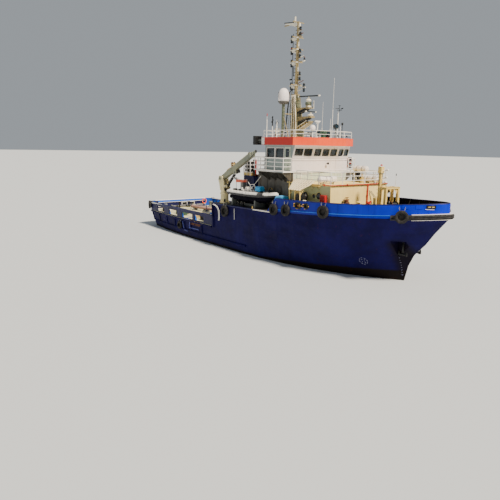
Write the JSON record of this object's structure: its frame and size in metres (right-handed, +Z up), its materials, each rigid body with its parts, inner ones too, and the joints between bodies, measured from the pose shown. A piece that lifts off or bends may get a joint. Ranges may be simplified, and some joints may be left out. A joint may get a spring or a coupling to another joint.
{
  "type": "tugboat",
  "caption": "Towing and supply tug with raised forecastle, wheelhouse, tall mast, deck crane, rescue boat, winches, screws, rudders and anchors.",
  "frame": {"origin": "amidships on the centreline, at the waterline", "axes": "+X towards the bow, +Y to port, +Z up"},
  "size_m": [39.16, 10.467, 25.35],
  "materials": {
    "navy": "semi-gloss hull enamel",
    "blue": "gloss enamel",
    "cream": "satin enamel",
    "white": "satin enamel",
    "orange": "satin enamel",
    "grey": "satin enamel",
    "black": "satin enamel",
    "steel": "worn steel",
    "rubber": "matt rubber",
    "bronze": "cast bronze",
    "plastic": "glass-fibre gel coat",
    "tube": "coated fabric",
    "glass": "clear, tinted"
  },
  "bodies": {
    "vessel": {"hull": "navy", "forecastle_bulwark": "blue", "aft_bulwark": "navy", "bow_fender": "rubber", "strake_stbd": "rubber", "strake_port": "rubber", "accommodation": "grey", "forecastle_house": "cream", "bridge_deck": "cream", "funnel_stbd": "navy", "funnel_port": "navy", "wheelhouse_front": "white", "wheelhouse_side_stbd": "white", "wheelhouse_side_port": "white", "wheelhouse_aft": "white", "wheelhouse_roof": "cream", "roof_fascia": "orange", "glass_front": "glass", "glass_aft": "glass", "helm_console": "grey", "top_rail": "cream", "bridge_rails": "white", "boat_deck_rail": "cream", "roof_lamp_box": "black", "mast": "cream", "satcom_dome": "plastic", "liferaft_stbd": "plastic", "liferaft_port": "plastic", "liferaft_aft": "plastic", "awning": "cream", "foremast": "cream", "forecastle_gantry": "cream", "tow_winch_frame": "grey", "windlass_frame": "black", "crane_pedestal": "cream", "boat_hull": "navy", "boat_tube": "tube", "boat_fittings": "steel", "boat_cradle": "steel", "nozzle_stbd": "navy", "nozzle_port": "navy", "anchor_stbd": "black", "anchor_port": "black"},
    "screw_stbd": {"propeller_stbd": "bronze"},
    "screw_port": {"propeller_port": "bronze"},
    "steering_stbd": {"rudder_stbd": "navy"},
    "steering_port": {"rudder_port": "navy"},
    "scanner_main": {"radar_scanner_main": "plastic"},
    "scanner_small": {"radar_scanner_small": "plastic"},
    "wing_door_stbd": {"door_stbd": "cream"},
    "wing_door_port": {"door_port": "cream"},
    "tow_drum": {"tow_winch_drum": "steel"},
    "anchor_drum": {"windlass_drum": "steel"},
    "column": {"crane_column": "cream"},
    "boom": {"crane_boom": "cream"},
    "extension": {"crane_extension": "steel"},
    "luff_barrel": {"luff_cylinder_barrel": "black"},
    "luff_rod": {"luff_cylinder_rod": "steel"}
  },
  "joints": [
    {"name": "screw_stbd_spin", "type": "hinge", "parent": "vessel", "child": "screw_stbd", "pos_m": [-15.55, -2.3, -2.5], "axis": [1, 0, 0], "continuous": true},
    {"name": "screw_port_spin", "type": "hinge", "parent": "vessel", "child": "screw_port", "pos_m": [-15.55, 2.3, -2.5], "axis": [1, 0, 0], "continuous": true},
    {"name": "rudder_stbd_steer", "type": "hinge", "parent": "vessel", "child": "steering_stbd", "pos_m": [-17, -2.3, -2.4], "axis": [0, 0, 1], "range_deg": [-35, 35]},
    {"name": "rudder_port_steer", "type": "hinge", "parent": "vessel", "child": "steering_port", "pos_m": [-17, 2.3, -2.4], "axis": [0, 0, 1], "range_deg": [-35, 35]},
    {"name": "radar_main_turn", "type": "hinge", "parent": "vessel", "child": "scanner_main", "pos_m": [4.65, 0, 14.3], "axis": [0, 0, 1], "continuous": true},
    {"name": "radar_small_turn", "type": "hinge", "parent": "vessel", "child": "scanner_small", "pos_m": [4.95, 0, 12.95], "axis": [0, 0, 1], "continuous": true},
    {"name": "door_stbd_swing", "type": "hinge", "parent": "vessel", "child": "wing_door_stbd", "pos_m": [6.322, -3.412, 9], "axis": [0, 0, 1], "range_deg": [0, 90]},
    {"name": "door_port_swing", "type": "hinge", "parent": "vessel", "child": "wing_door_port", "pos_m": [6.322, 3.412, 9], "axis": [0, 0, -1], "range_deg": [0, 90]},
    {"name": "tow_drum_turn", "type": "hinge", "parent": "vessel", "child": "tow_drum", "pos_m": [-5.3, 0, 2.9], "axis": [0, 1, 0], "continuous": true},
    {"name": "anchor_drum_turn", "type": "hinge", "parent": "vessel", "child": "anchor_drum", "pos_m": [14.57, 0, 5.64], "axis": [0, 1, 0], "continuous": true},
    {"name": "crane_slew", "type": "hinge", "parent": "vessel", "child": "column", "pos_m": [-2.68, -4.1, 5.5], "axis": [0, 0, 1], "range_deg": [-200, 0]},
    {"name": "crane_luff", "type": "hinge", "parent": "column", "child": "boom", "pos_m": [-3.05, -4.1, 6.78], "axis": [0, -1, 0], "range_deg": [0, 45]},
    {"name": "boom_extend", "type": "slide", "parent": "boom", "child": "extension", "axis": [0.8949, 0, 0.4462], "range_m": [0, 2.5]},
    {"name": "luff_barrel_swing", "type": "hinge", "parent": "column", "child": "luff_barrel", "pos_m": [-2.12, -4.1, 6.08], "axis": [0, -1, 0], "range_deg": [0, 42]},
    {"name": "luff_rod_slide", "type": "slide", "parent": "luff_barrel", "child": "luff_rod", "axis": [0.7097, 0, 0.7045], "range_m": [0, 0.9]}
  ],
  "couplings": [
    {"joint": "rudder_port_steer", "follows": "rudder_stbd_steer", "ratio": 1},
    {"joint": "luff_barrel_swing", "follows": "crane_luff", "ratio": 0.92},
    {"joint": "luff_rod_slide", "follows": "crane_luff", "m_per_rad": 1.125}
  ]
}
